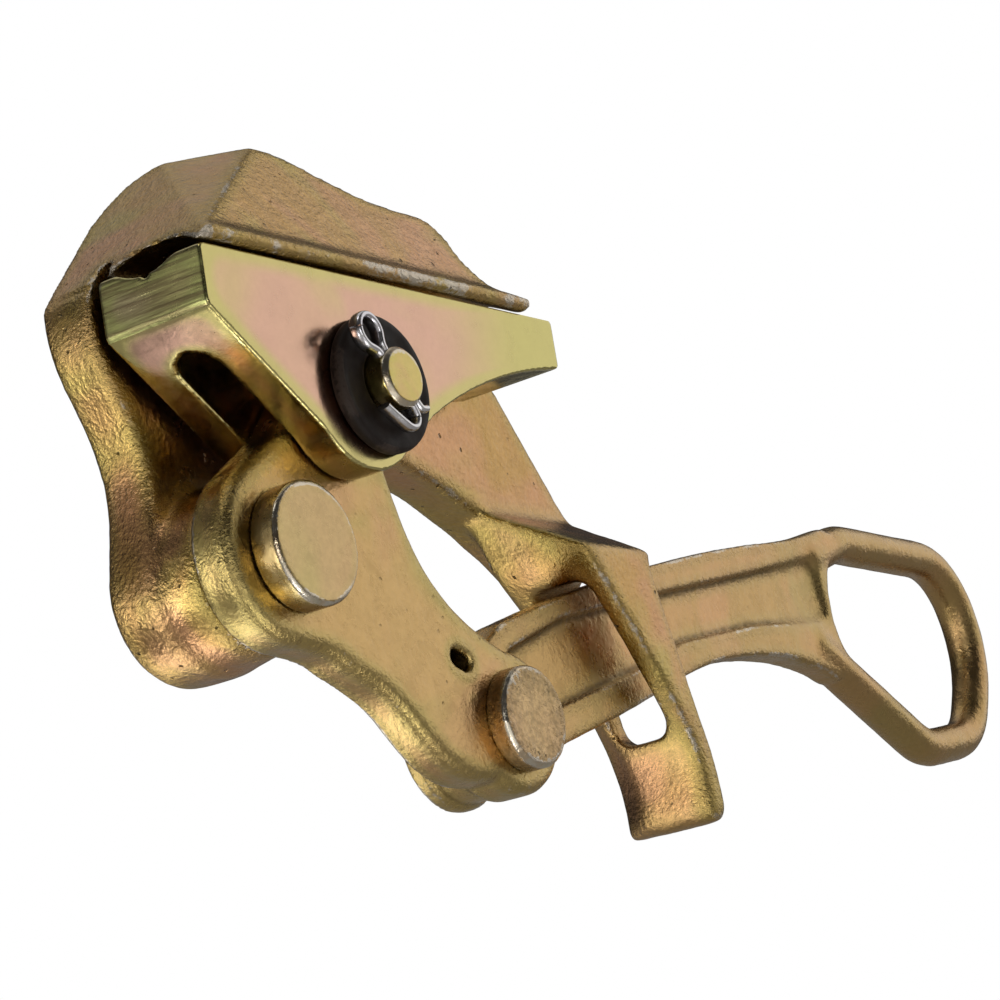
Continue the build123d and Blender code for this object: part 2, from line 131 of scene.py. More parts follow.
def points_of(piece: bpy.types.Object) -> np.ndarray:
    """The places of a piece's points, one row each."""
    places = np.zeros(len(piece.data.vertices) * 3)
    piece.data.vertices.foreach_get("co", places)
    return places.reshape(-1, 3)


def weigh(piece: bpy.types.Object, name: str, weights: np.ndarray) -> None:
    """Give each point of a piece a weight in a vertex group, in steps of a twentieth."""
    group = piece.vertex_groups.new(name=name)
    steps = np.round(np.clip(weights, 0, 1) * 20).astype(int)
    for step in range(1, 21):
        members = np.flatnonzero(steps == step)
        group.add(members.tolist(), step / 20, "REPLACE")


def soften(piece: bpy.types.Object, rounds: int, group: str = "") -> None:
    """Round a piece's edges and inner corners by smoothing its mesh."""
    apply_modifier(piece, "SMOOTH", factor=0.5, iterations=rounds, vertex_group=group)


def roughen(piece: bpy.types.Object, height: float, spacing: float, group: str = "",
            depth: int = 2) -> None:
    """Push a piece's surface in and out in soft lumps, as forging leaves it.

    Args:
        piece: The mesh object to change.
        height: How far the highest lump stands over the deepest hollow.
        spacing: The size of the lumps.
        group: The vertex group that the lumps are kept to.
        depth: How many finer layers the lumps have.
    """
    lumps = bpy.data.textures.new(f"{piece.name}_lumps", "CLOUDS")
    lumps.noise_scale = spacing
    lumps.noise_depth = depth
    apply_modifier(piece, "DISPLACE", texture=lumps, texture_coords="LOCAL", strength=height,
                   mid_level=0.5, vertex_group=group)


def spread(values: np.ndarray, pairs: np.ndarray, rounds: int) -> np.ndarray:
    """Even out a value over a mesh by averaging along its edges.

    Args:
        values: One value for each point.
        pairs: The two points of each edge, one row each.
        rounds: How many times each point takes its neighbours' mean.

    Returns:
        The evened values.
    """
    first, second = pairs[:, 0], pairs[:, 1]
    count = np.maximum(np.bincount(pairs.ravel(), minlength=len(values)), 1)
    for _ in range(rounds):
        total = np.bincount(first, values[second], len(values))
        total += np.bincount(second, values[first], len(values))
        values = 0.5 * values + 0.5 * total / count
    return values


def store(piece: bpy.types.Object, name: str, values: np.ndarray) -> None:
    """Keep one value for each point of a piece, for its materials to read."""
    attribute = piece.data.attributes.new(name, "FLOAT", "POINT")
    attribute.data.foreach_set("value", values.astype(np.float32))


def record_relief(piece: bpy.types.Object, rim_width: float) -> None:
    """Store how sharply each point stands out, close by as "edge" and further off as "rim".

    Args:
        piece: The mesh object to measure.
        rim_width: How far an edge's "rim" reaches over the faces beside it.
    """
    places = points_of(piece)
    pairs = np.zeros(len(piece.data.edges) * 2, int)
    piece.data.edges.foreach_get("vertices", pairs)
    pairs = pairs.reshape(-1, 2)
    normals = np.zeros(len(places) * 3)
    piece.data.vertices.foreach_get("normal", normals)
    normals = normals.reshape(-1, 3)
    step = np.linalg.norm(places[pairs[:, 0]] - places[pairs[:, 1]], axis=1).mean()
    even = np.stack([spread(places[:, axis], pairs, 1) for axis in range(3)], axis=1)
    bend = 8 * ((places - even) * normals).sum(axis=1) / step ** 2 * MM
    edge = spread(np.clip(bend, -2, 2), pairs, 2)
    store(piece, "edge", edge)
    rounds = int((rim_width / step) ** 2)
    rim = spread(np.clip(np.abs(edge) * 2, 0, 1), pairs, min(rounds, 400))
    store(piece, "rim", rim)


def finish_piece(piece: bpy.types.Object, body: str, material_slot: str, *nodes: str) -> None:
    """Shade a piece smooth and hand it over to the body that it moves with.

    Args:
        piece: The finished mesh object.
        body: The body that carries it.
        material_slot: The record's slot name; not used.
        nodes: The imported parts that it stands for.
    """
    piece.vertex_groups.clear()
    pick(piece)
    bpy.ops.object.shade_smooth_by_angle(angle=math.radians(40))
    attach(piece, body)
    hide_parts(*nodes)
    log.info("%s: %d faces on %s", piece.name, len(piece.data.polygons), body)


# ---------------------------------------------------------------- node wiring
class Board:
    """A node tree being wired."""

    def __init__(self, tree: bpy.types.NodeTree) -> None:
        """Start with an empty tree."""
        self.tree = tree
        tree.nodes.clear()

    def add(self, kind: str, inputs: dict | None = None, **settings: object) -> bpy.types.Node:
        """Add a node.

        Args:
            kind: The node's type, without the ShaderNode in front.
            inputs: A value, or an output socket to link, for each input by name or number.
            settings: The node's own properties.

        Returns:
            The new node.
        """
        node = self.tree.nodes.new(kind if kind.startswith("NodeGroup") else f"ShaderNode{kind}")
        for key, value in settings.items():
            setattr(node, key, value)
        for key, value in (inputs or {}).items():
            if isinstance(value, bpy.types.NodeSocket):
                self.tree.links.new(value, node.inputs[key])
            else:
                node.inputs[key].default_value = value
        return node

    def maths(self, operation: str, first: object, second: object = 0.0,
              clamp: bool = False) -> bpy.types.NodeSocket:
        """The result of an arithmetic node on two values or sockets."""
        node = self.add("Math", {0: first, 1: second}, operation=operation, use_clamp=clamp)
        return node.outputs[0]

    def ramp(self, value: object, low: float, high: float, to_low: float = 0.0,
             to_high: float = 1.0) -> bpy.types.NodeSocket:
        """A value stretched from one range to another, and kept inside it."""
        node = self.add("MapRange", {"Value": value, "From Min": low, "From Max": high,
                                     "To Min": to_low, "To Max": to_high},
                        interpolation_type="SMOOTHSTEP")
        return node.outputs["Result"]

    def mix(self, share: object, first: object, second: object) -> bpy.types.NodeSocket:
        """A blend of two colours or colour sockets."""
        node = self.add("Mix", data_type="RGBA")
        for key, value in ((0, share), (6, first), (7, second)):
            if isinstance(value, bpy.types.NodeSocket):
                self.tree.links.new(value, node.inputs[key])
            else:
                node.inputs[key].default_value = value if key == 0 else (*value, 1)
        return node.outputs[2]

    def noise(self, place: bpy.types.NodeSocket, size: float, detail: float = 2.0,
              roughness: float = 0.5, distortion: float = 0.0) -> bpy.types.NodeSocket:
        """A noise whose lumps are about size across."""
        node = self.add("TexNoise", {"Vector": place, "Scale": 1 / size, "Detail": detail,
                                     "Roughness": roughness, "Distortion": distortion})
        return node.outputs["Fac"]


def new_group(name: str, inputs: dict[str, str], outputs: dict[str, str]) -> Board:
    """Start a shader node group.

    Args:
        name: The group's name.
        inputs: The type of each input by name.
        outputs: The type of each output by name.

    Returns:
        A board on the group's tree.
    """
    tree = bpy.data.node_groups.new(name, "ShaderNodeTree")
    board = Board(tree)
    for label, kind in inputs.items():
        tree.interface.new_socket(label, in_out="INPUT", socket_type=f"NodeSocket{kind}")
    for label, kind in outputs.items():
        tree.interface.new_socket(label, in_out="OUTPUT", socket_type=f"NodeSocket{kind}")
    return board


def drift_group() -> bpy.types.NodeTree:
    """The slow play of colour over a dichromate plating: gold, rose and green, finely grained."""
    board = new_group("plating_drift",
                      {"Place": "Vector", "Gold": "Color", "Rose": "Color", "Green": "Color",
                       "Rim": "Float", "Rim Green": "Float", "Patch Size": "Float",
                       "Fine": "Float", "Green From": "Float", "Green To": "Float"},
                      {"Colour": "Color"})
    given = board.add("NodeGroupInput").outputs
    scale = board.maths("DIVIDE", 1.0, given["Patch Size"])
    patches = board.add("TexNoise", {"Vector": given["Place"], "Scale": scale, "Detail": 2.5,
                                     "Roughness": 0.55, "Distortion": 0.6}).outputs
    tint = board.add("SeparateColor", {"Color": patches["Color"]}).outputs
    rose = board.ramp(tint["Red"], 0.42, 0.62)
    green = board.ramp(tint["Green"], 0.50, 0.68, 0, 0.8)
    grains = board.ramp(board.noise(given["Place"], 1.2 * MM, 3, 0.7), 0.3, 0.7, -1.0, 0.7)
    fine = board.maths("ADD", board.maths("MULTIPLY", grains, given["Fine"]), 1.0)
    along = board.add("SeparateXYZ", {0: given["Place"]}).outputs["X"]
    end = board.add("MapRange", {"Value": along, "From Min": given["Green From"],
                                 "From Max": given["Green To"]},
                    interpolation_type="SMOOTHSTEP").outputs["Result"]
    colour = board.mix(rose, given["Gold"], given["Rose"])
    colour = board.mix(green, colour, given["Green"])
    rim = board.maths("MULTIPLY", board.ramp(given["Rim"], 0.04, 0.28), given["Rim Green"], True)
    rim = board.maths("MAXIMUM", rim, end)
    colour = board.mix(rim, colour, given["Green"])
    shade = board.add("VectorMath", {0: colour, "Scale": fine}, operation="SCALE").outputs[0]
    board.add("NodeGroupOutput", {"Colour": shade})
    return board.tree


def wear_and_crease_shade_group() -> bpy.types.NodeTree:
    """Where plating is rubbed off the edges, and a painted shade mask for the concave creases."""
    board = new_group("edge_wear_and_crease_shade",
                      {"Place": "Vector", "Edge": "Float", "Amount": "Float", "Grain": "Float"},
                      {"Bright": "Float", "Crease Shade": "Float"})
    given = board.add("NodeGroupInput").outputs
    scale = board.maths("DIVIDE", 1.0, given["Grain"])
    speckle = board.add("TexNoise", {"Vector": given["Place"], "Scale": scale, "Detail": 5.0,
                                     "Roughness": 0.75}).outputs["Fac"]
    patchy = board.ramp(board.noise(given["Place"], 14 * MM, 2), 0.38, 0.62, 0.25, 1.0)
    sharp = board.ramp(given["Edge"], 0.05, 0.45)
    strength = board.maths("MULTIPLY", board.maths("MULTIPLY", sharp, patchy), given["Amount"])
    level = board.maths("ADD", strength, speckle)
    bright = board.ramp(level, 0.80, 1.02, 0, 0.85)
    # Painted shade: concave creases get a mask that darkens them, standing in for the shade that
    # falls there.
    crease_shade = board.ramp(given["Edge"], -0.10, -0.6)
    board.add("NodeGroupOutput", {"Bright": bright, "Crease Shade": crease_shade})
    return board.tree


def skin_group() -> bpy.types.NodeTree:
    """The height and pits of a forged skin under its plating."""
    board = new_group("forged_skin", {"Place": "Vector", "Grain": "Float", "Pitting": "Float"},
                      {"Height": "Float", "Pits": "Float"})
    given = board.add("NodeGroupInput").outputs
    scale = board.maths("DIVIDE", 1.0, given["Grain"])
    peel = board.add("TexNoise", {"Vector": given["Place"], "Scale": scale, "Detail": 4.0,
                                  "Roughness": 0.62}).outputs["Fac"]
    stir = board.add("TexNoise", {"Vector": given["Place"], "Scale": 1 / (1.5 * MM)})
    shift = board.add("VectorMath", {0: stir.outputs["Color"], "Scale": 1.3 * MM},
                      operation="SCALE").outputs[0]
    stirred = board.add("VectorMath", {0: given["Place"], 1: shift}, operation="ADD").outputs[0]
    cells = board.add("TexVoronoi", {"Vector": stirred, "Scale": 1 / (2.6 * MM),
                                     "Randomness": 1.0}).outputs
    chance = board.add("SeparateColor", {"Color": cells["Color"]}).outputs["Red"]
    near = board.ramp(cells["Distance"], 0.08, 0.22, 1.0, 0.0)
    some = board.ramp(chance, 0.90, 0.94)
    pits = board.maths("MULTIPLY", board.maths("MULTIPLY", near, some), given["Pitting"], True)
    height = board.maths("SUBTRACT", peel, board.maths("MULTIPLY", pits, 1.6))
    board.add("NodeGroupOutput", {"Height": height, "Pits": pits})
    return board.tree


# ---------------------------------------------------------------- finishes
class Surface(Enum):
    """How a steel face was left before it was plated."""

    FORGED = "forged"
    SMOOTH = "smooth"
    GROUND = "ground"


@dataclass(frozen=True)
class PlatedSteel:
    """Steel in yellow dichromate zinc plating."""

    name: str
    gold: Colour
    rose: Colour
    green: Colour
    surface: Surface
    roughness: float
    grain: float
    bump: float
    wear: float
    patch: float = 34 * MM
    rim_green: float = 0.4
    pitting: float = 1.0
    fine: float = 0.10
    green_from: float = 9.0
    green_to: float = 10.0

    WORN = (0.60, 0.54, 0.45)
    # Dark colour for painted shade in concave creases, and for the pits of the forged skin.
    CREASE_SHADE_AND_PIT_COLOUR = (0.060, 0.040, 0.016)

    def material(self) -> bpy.types.Material:
        """Build the material from its shared groups and this finish's own values."""
        made = bpy.data.materials.new(self.name)
        made.use_nodes = True
        board = Board(made.node_tree)
        place = board.add("TexCoord").outputs["Object"]
        edge = board.add("Attribute", attribute_name="edge").outputs["Fac"]
        rim = board.add("Attribute", attribute_name="rim").outputs["Fac"]
        groups = bpy.data.node_groups
        drift = board.add("Group", node_tree=groups["plating_drift"])
        wear = board.add("Group", node_tree=groups["edge_wear_and_crease_shade"])
        skin = board.add("Group", node_tree=groups["forged_skin"])
        for node in (drift, wear, skin):
            board.tree.links.new(place, node.inputs["Place"])
        for node, key, value in (
                (drift, "Gold", (*self.gold, 1)), (drift, "Rose", (*self.rose, 1)),
                (drift, "Green", (*self.green, 1)), (drift, "Rim Green", self.rim_green),
                (drift, "Patch Size", self.patch), (drift, "Fine", self.fine),
                (drift, "Green From", self.green_from), (drift, "Green To", self.green_to),
                (wear, "Amount", self.wear),
                (wear, "Grain", 1.1 * MM), (skin, "Grain", self.grain),
                (skin, "Pitting", self.pitting)):
            node.inputs[key].default_value = value
        board.tree.links.new(rim, drift.inputs["Rim"])
        board.tree.links.new(edge, wear.inputs["Edge"])

        colour = board.mix(wear.outputs["Bright"], drift.outputs["Colour"], self.WORN)
        # Painted shade in the concave creases, together with the dark pits of the skin, darkens
        # the colour; the same mask also raises the roughness.
        crease_shade_and_pits = board.maths("MAXIMUM", board.maths("MULTIPLY", wear.outputs["Crease Shade"], 0.75),
                             board.maths("MULTIPLY", skin.outputs["Pits"], 0.8))
        colour = board.mix(crease_shade_and_pits, colour, self.CREASE_SHADE_AND_PIT_COLOUR)
        fuller = board.ramp(rim, 0.05, 0.5, 0.75, 1.7)
        height = board.maths("MULTIPLY", skin.outputs["Height"], fuller)
        rough = board.ramp(board.noise(place, 6 * MM, 4, 0.6), 0.3, 0.7,
                           self.roughness - 0.07, self.roughness + 0.09)
        if self.surface is Surface.GROUND:
            streaks = self.streaks(board, place)
            height = board.maths("ADD", board.maths("MULTIPLY", height, 0.25), streaks)
            tone = board.ramp(streaks, 0.30, 0.66)
            colour = board.mix(board.maths("MULTIPLY", tone, 0.75), colour,
                               (0.16, 0.105, 0.06))
        rough = board.maths("ADD", rough, board.maths("MULTIPLY", crease_shade_and_pits, 0.25))
        bump = board.add("Bump", {"Height": height, "Distance": self.bump, "Strength": 1.0})
        shader = board.add("BsdfPrincipled",
                           {"Base Color": colour, "Metallic": 1.0, "Roughness": rough,
                            "Normal": bump.outputs[0]})
        board.add("OutputMaterial", {"Surface": shader.outputs[0]})
        return made

    @staticmethod
    def streaks(board: Board, place: bpy.types.NodeSocket) -> bpy.types.NodeSocket:
        """Slanting grinding marks across a face that looks along X."""
        turned = board.add("Mapping", {"Vector": place,
                                       "Rotation": (math.radians(15), 0, 0),
                                       "Scale": (1, 0.05, 1)})
        return board.noise(turned.outputs[0], 0.9 * MM, 3, 0.6)


@dataclass(frozen=True)
class Rubber:
    """Black moulded rubber, dusty and a little brown."""

    name: str = "black_rubber"
    colour: Colour = (0.011, 0.006, 0.004)
    dust: Colour = (0.045, 0.030, 0.022)

    def material(self) -> bpy.types.Material:
        """Build the material."""
        made = bpy.data.materials.new(self.name)
        made.use_nodes = True
        board = Board(made.node_tree)
        place = board.add("TexCoord").outputs["Object"]
        edge = board.add("Attribute", attribute_name="edge").outputs["Fac"]
        wear = board.add("Group", {"Place": place, "Edge": edge, "Amount": 0.55,
                                   "Grain": 0.8 * MM},
                         node_tree=bpy.data.node_groups["edge_wear_and_crease_shade"])
        grain = board.noise(place, 0.5 * MM, 4, 0.7)
        smudge = board.ramp(board.noise(place, 7 * MM, 3), 0.45, 0.75, 0, 0.35)
        colour = board.mix(board.maths("MAXIMUM", wear.outputs["Bright"], smudge),
                           self.colour, self.dust)
        rough = board.ramp(board.noise(place, 5 * MM, 3), 0.3, 0.7, 0.50, 0.68)
        bump = board.add("Bump", {"Height": grain, "Distance": 0.05 * MM, "Strength": 0.6})
        shader = board.add("BsdfPrincipled", {"Base Color": colour, "Roughness": rough,
                                              "Specular IOR Level": 0.25,
                                              "Normal": bump.outputs[0]})
        board.add("OutputMaterial", {"Surface": shader.outputs[0]})
        return made


FORGED_BODY = PlatedSteel("forged_gold", (0.47, 0.285, 0.100), (0.52, 0.285, 0.140),
                          (0.44, 0.340, 0.100), Surface.FORGED, roughness=0.19, grain=1.25 * MM,
                          bump=0.34 * MM, wear=0.60, pitting=0.9)
FORGED_LEVER = PlatedSteel("lever_gold", (0.52, 0.340, 0.138), (0.53, 0.325, 0.150),
                           (0.43, 0.340, 0.120), Surface.FORGED, roughness=0.23, grain=1.2 * MM,
                           bump=0.22 * MM, wear=0.50, pitting=0.25, fine=0.05, rim_green=0.6)
FORGED_SHANK = PlatedSteel("shank_gold", (0.47, 0.300, 0.115), (0.53, 0.310, 0.140),
                           (0.42, 0.310, 0.120), Surface.FORGED, roughness=0.24, grain=1.3 * MM,
                           bump=0.22 * MM, wear=0.48, pitting=0.15, fine=0.06)
JAW_STEEL = PlatedSteel("jaw_rose", (0.62, 0.410, 0.260), (0.63, 0.385, 0.285),
                        (0.54, 0.480, 0.180), Surface.SMOOTH, roughness=0.19, grain=1.4 * MM,
                        bump=0.03 * MM, wear=0.22, patch=55 * MM, rim_green=0.9, pitting=0.0,
                        fine=0.02, green_from=24 * MM, green_to=62 * MM)
JAW_END = PlatedSteel("jaw_ground_end", (0.52, 0.470, 0.200), (0.52, 0.420, 0.260),
                      (0.48, 0.500, 0.180), Surface.GROUND, roughness=0.30, grain=1.2 * MM,
                      bump=0.16 * MM, wear=0.30, rim_green=0.9, pitting=0.0, fine=0.03)
PIN_STEEL = PlatedSteel("pin_gold", (0.50, 0.355, 0.170), (0.52, 0.350, 0.175),
                        (0.46, 0.370, 0.150), Surface.SMOOTH, roughness=0.24, grain=1.3 * MM,
                        bump=0.07 * MM, wear=0.55, rim_green=0.2, pitting=0.15, fine=0.07)
JAW_PIN_STEEL = PlatedSteel("jaw_pin_gold", (0.56, 0.440, 0.160), (0.56, 0.400, 0.170),
                            (0.50, 0.430, 0.120), Surface.SMOOTH, roughness=0.20, grain=1.3 * MM,
                            bump=0.04 * MM, wear=0.55, patch=9 * MM, rim_green=0.2, pitting=0.1,
                            fine=0.04)
UPSET_STEEL = PlatedSteel("upset_pin_gold", (0.47, 0.325, 0.155), (0.49, 0.320, 0.165),
                          (0.44, 0.340, 0.140), Surface.SMOOTH, roughness=0.27, grain=0.8 * MM,
                          bump=0.22 * MM, wear=0.55, rim_green=0.1, pitting=0.6, fine=0.28)
# Painted highlight for the pins' chamfers: a pale silver colour that stands in for the bright
# reflection on them.
CHAMFER_HIGHLIGHT_STEEL = PlatedSteel("painted_chamfer_highlight", (0.66, 0.600, 0.500), (0.62, 0.480, 0.320),
                          (0.58, 0.540, 0.420), Surface.SMOOTH, roughness=0.16, grain=0.9 * MM,
                          bump=0.07 * MM, wear=0.3, patch=5 * MM, rim_green=0.1, pitting=0.2,
                          fine=0.08)
ZINC_WIRE = PlatedSteel("zinc_wire", (0.66, 0.650, 0.660), (0.62, 0.600, 0.640),
                        (0.64, 0.640, 0.620), Surface.SMOOTH, roughness=0.20, grain=0.8 * MM,
                        bump=0.03 * MM, wear=0.3, rim_green=0.0, pitting=0.0, fine=0.03)


# ---------------------------------------------------------------- forgings
@dataclass
class Forging:
    """One forged or machined part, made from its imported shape."""

    node: str
    body: str
    slot: str
    finish: PlatedSteel
    voxel: float
    even_rounds: int
    rim_width: float
    lump_height: float = 0.0
    lump_spacing: float = 6 * MM

    def build(self) -> bpy.types.Object:
        """Make the part's skin: rounded corners, lumps and relief.

        Returns:
            The finished piece, riding on its body.
        """
        piece = copy_of_node(self.node, f"{self.node}_skin")
        apply_modifier(piece, "REMESH", mode="VOXEL", voxel_size=self.voxel)
        soften(piece, self.even_rounds)
        self.shape(piece)
        if self.lump_height:
            roughen(piece, self.lump_height, self.lump_spacing)
        record_relief(piece, self.rim_width)
        piece.data.materials.append(self.finish.material())
        self.dress(piece)
        finish_piece(piece, self.body, self.slot, self.node)
        return piece

    def shape(self, piece: bpy.types.Object) -> None:
        """Change the shape beyond what every forging gets."""

    def dress(self, piece: bpy.types.Object) -> None:
        """Give some faces a material of their own."""


class BodyForging(Forging):
    """Hood, back plate, boss, arm and guide loop."""

    HOOD_EDGE_Z = -2 * MM
    PIN_CLEARANCE = 12.5 * MM
    ARM_END_X = 62 * MM
    BOSS_END_X = 30 * MM
    TOE_TOP_Z = -101 * MM

    def shape(self, piece: bpy.types.Object) -> None:
        """Give the plate, boss, arm and loop the large radii that the hood doesn't have."""
        places = points_of(piece)
        below_hood = np.clip((self.HOOD_EDGE_Z - places[:, 2]) / (6 * MM), 0, 1)
        pivot = PIVOTS["lever_pivot"]
        from_pin = np.hypot(places[:, 0] - pivot.x, places[:, 2] - pivot.z)
        off_pin = np.clip((from_pin - self.PIN_CLEARANCE) / (4 * MM), 0, 1)
        before_loop = np.clip((self.ARM_END_X - places[:, 0]) / (12 * MM), 0, 1)
        weigh(piece, "soft", below_hood * off_pin * before_loop)
        soften(piece, 16, "soft")
        weigh(piece, "loop", below_hood * (1 - before_loop))
        soften(piece, 44, "loop")
        toe = np.clip((self.TOE_TOP_Z - places[:, 2]) / (8 * MM), 0, 1)
        weigh(piece, "toe", toe * (1 - before_loop))
        soften(piece, 50, "toe")
        left = np.clip((self.BOSS_END_X - places[:, 0]) / (20 * MM), 0, 1)
        weigh(piece, "boss", below_hood * off_pin * left)
        soften(piece, 30, "boss")


class PullShank(Forging):
    """The bar with recessed sides and its pulling eye."""

    EYE_START_X = 185 * MM

    def shape(self, piece: bpy.types.Object) -> None:
        """Run the eye's bar smoothly into the shank."""
        places = points_of(piece)
        eye = np.clip((places[:, 0] - self.EYE_START_X) / (20 * MM), 0, 1)
        weigh(piece, "eye", eye)
        soften(piece, 36, "eye")


class MovingJaw(Forging):
    """The machined jaw, whose tail end is ground."""

    def dress(self, piece: bpy.types.Object) -> None:
        """Give the flat tail end its grinding marks."""
        piece.data.materials.append(JAW_END.material())
        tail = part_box(self.node)[0].x
        for face in piece.data.polygons:
            if face.normal.x < -0.8 and face.center.x < tail + 1 * MM:
                face.material_index = 1


# ---------------------------------------------------------------- turned pins
def paint_chamfer_highlight(piece: bpy.types.Object, front: float) -> None:
    """Paint a highlight on the bevel round a pin's front face, in a pale, glossy material.

    Args:
        piece: The pin, turned about a line along Y.
        front: Y of its front face.
    """
    # The chamfer faces get the painted highlight material.
    piece.data.materials.append(CHAMFER_HIGHLIGHT_STEEL.material())
    for face in piece.data.polygons:
        if face.center.y < front + 1.5 * MM and -0.93 < face.normal.y < -0.25:
            face.material_index = 1


def turned(name: str, centre: Vector, profile: list[tuple[float, float]],
           steps: int = 128) -> bpy.types.Object:
    """Turn a profile about a line along Y, as on a lathe.

    Args:
        name: The new piece's name.
        centre: Any point of the line.
        profile: Radius and Y of each corner, from the front to the back.
        steps: How many flats the turned faces have.

    Returns:
        The closed mesh object.
    """
    deselect_all()
    bpy.ops.mesh.primitive_plane_add(size=1 * MM, location=(0, 0, 0))
    piece = bpy.context.object
    piece.name = name
    bpy.ops.object.mode_set(mode="EDIT")
    bpy.ops.mesh.merge(type="CENTER")
    radius, depth = profile[0]
    here = Vector((centre.x + radius, depth, centre.z))
    bpy.ops.transform.translate(value=here)
    for radius, depth in profile[1:]:
        there = Vector((centre.x + radius, depth, centre.z))
        bpy.ops.mesh.extrude_region_move(TRANSFORM_OT_translate={"value": there - here})
        here = there
    bpy.ops.mesh.select_all(action="SELECT")
    bpy.ops.mesh.spin(steps=steps, angle=2 * math.pi, center=(centre.x, 0, centre.z),
                      axis=(0, 1, 0))
    bpy.ops.mesh.select_all(action="SELECT")
    bpy.ops.mesh.remove_doubles(threshold=0.01 * MM)
    bpy.ops.mesh.normals_make_consistent(inside=False)
    bpy.ops.object.mode_set(mode="OBJECT")
    return piece


@dataclass
class RivetedPin:
    """A pin with a flat head in front and a spread rivet end behind."""

    node: str
    body: str
    centre: Vector
    finish: PlatedSteel
    head_back: float
    shaft: float
    rivet: float
    bevel: float
    head_lumps: float

    def build(self) -> bpy.types.Object:
        """Turn the pin, then work the face of its head."""
        low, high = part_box(self.node)
        head = (high.x - low.x) / 2
        front, back = low.y, high.y
        seat = back - 2 * MM
        piece = turned(f"{self.node}_turned", self.centre, [
            (0, front + 0.25 * MM), (0.45 * head, front + 0.12 * MM),
            (head - self.bevel - 0.8 * MM, front), (head - self.bevel, front + 0.05 * MM),
            (head, front + self.bevel), (head, self.head_back), (self.shaft, self.head_back),
            (self.shaft, seat), (self.rivet, seat), (self.rivet, back - 1.0 * MM),
            (self.rivet - 1.2 * MM, back), (0, back)])
        apply_modifier(piece, "REMESH", mode="VOXEL", voxel_size=0.36 * MM)
        soften(piece, 4)
        places = points_of(piece)
        radius = np.hypot(places[:, 0] - self.centre.x, places[:, 2] - self.centre.z)
        face = np.clip((front + 2 * MM - places[:, 1]) / (1 * MM), 0, 1)
        ring = np.clip((radius - 0.42 * head) / (0.2 * head), 0.12, 1)
        weigh(piece, "face", face * ring)
        roughen(piece, self.head_lumps, 2.4 * MM, "face")
        record_relief(piece, 1.5 * MM)
        piece.data.materials.append(self.finish.material())
        paint_chamfer_highlight(piece, front)
        finish_piece(piece, self.body, "pin_steel", self.node)
        return piece


@dataclass
class JawPin:
    """The pin through jaw and lever, with a cross hole for its split pin."""

    centre: Vector
    cross_radius: float = 1.65 * MM
    shaft_radius: float = 6.9 * MM

    def build(self) -> bpy.types.Object:
        """Turn the pin and drill its cross hole."""
        low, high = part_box("jaw_pin")
        front, back = low.y, high.y
        radius = self.shaft_radius
        head = (high.x - low.x) / 2
        piece = turned("jaw_pin_turned", self.centre, [
            (0, front + 0.1 * MM), (radius - 1.7 * MM, front),
            (radius - 1.0 * MM, front + 0.1 * MM), (radius, front + 1.1 * MM),
            (radius, back - 3 * MM), (head, back - 3 * MM), (head, back - 0.5 * MM),
            (head - 0.5 * MM, back), (0, back)])
        across = Vector((math.cos(CROSS_HOLE_ANGLE), 0, math.sin(CROSS_HOLE_ANGLE)))
        hole_place = Vector((self.centre.x, CROSS_HOLE_Y, self.centre.z))
        deselect_all()
        bpy.ops.mesh.primitive_cylinder_add(
            vertices=48, radius=self.cross_radius, depth=30 * MM, location=hole_place,
            rotation=across.to_track_quat("Z", "Y").to_euler())
        drill = bpy.context.object
        apply_modifier(piece, "BOOLEAN", object=drill, operation="DIFFERENCE", solver="EXACT")
        bpy.data.objects.remove(drill)
        apply_modifier(piece, "REMESH", mode="VOXEL", voxel_size=0.25 * MM)
        soften(piece, 4)
        roughen(piece, 0.06 * MM, 1.6 * MM)
        record_relief(piece, 1.2 * MM)
        piece.data.materials.append(JAW_PIN_STEEL.material())
        paint_chamfer_highlight(piece, front)
        finish_piece(piece, "jaw_pin", "pin_steel", "jaw_pin")
        return piece


@dataclass
class Washer:
    """The thick rubber washer on the jaw pin."""

    centre: Vector
    bore: float = 7.1 * MM

    def build(self) -> bpy.types.Object:
        """Turn the ring with soft edges and a shallow dish in its face."""
        low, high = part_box("washer")
        rim = (high.x - low.x) / 2
        front, back = low.y, high.y
        piece = turned("washer_ring", self.centre, [
            (self.bore, back), (self.bore, front + 0.6 * MM),
            (self.bore + 0.7 * MM, front + 0.3 * MM), (rim - 4.2 * MM, front + 0.35 * MM),
            (rim - 2.0 * MM, front),
            (rim - 0.8 * MM, front + 0.1 * MM), (rim - 0.1 * MM, front + 0.9 * MM),
            (rim, front + 1.8 * MM), (rim - 0.1 * MM, back - 0.7 * MM), (rim - 0.8 * MM, back),
            (self.bore, back)])
        apply_modifier(piece, "REMESH", mode="VOXEL", voxel_size=0.32 * MM)
        soften(piece, 5)
        roughen(piece, 0.12 * MM, 4 * MM)
        record_relief(piece, 1.2 * MM)
        piece.data.materials.append(Rubber().material())
        finish_piece(piece, "washer", "black_rubber", "washer")
        return piece


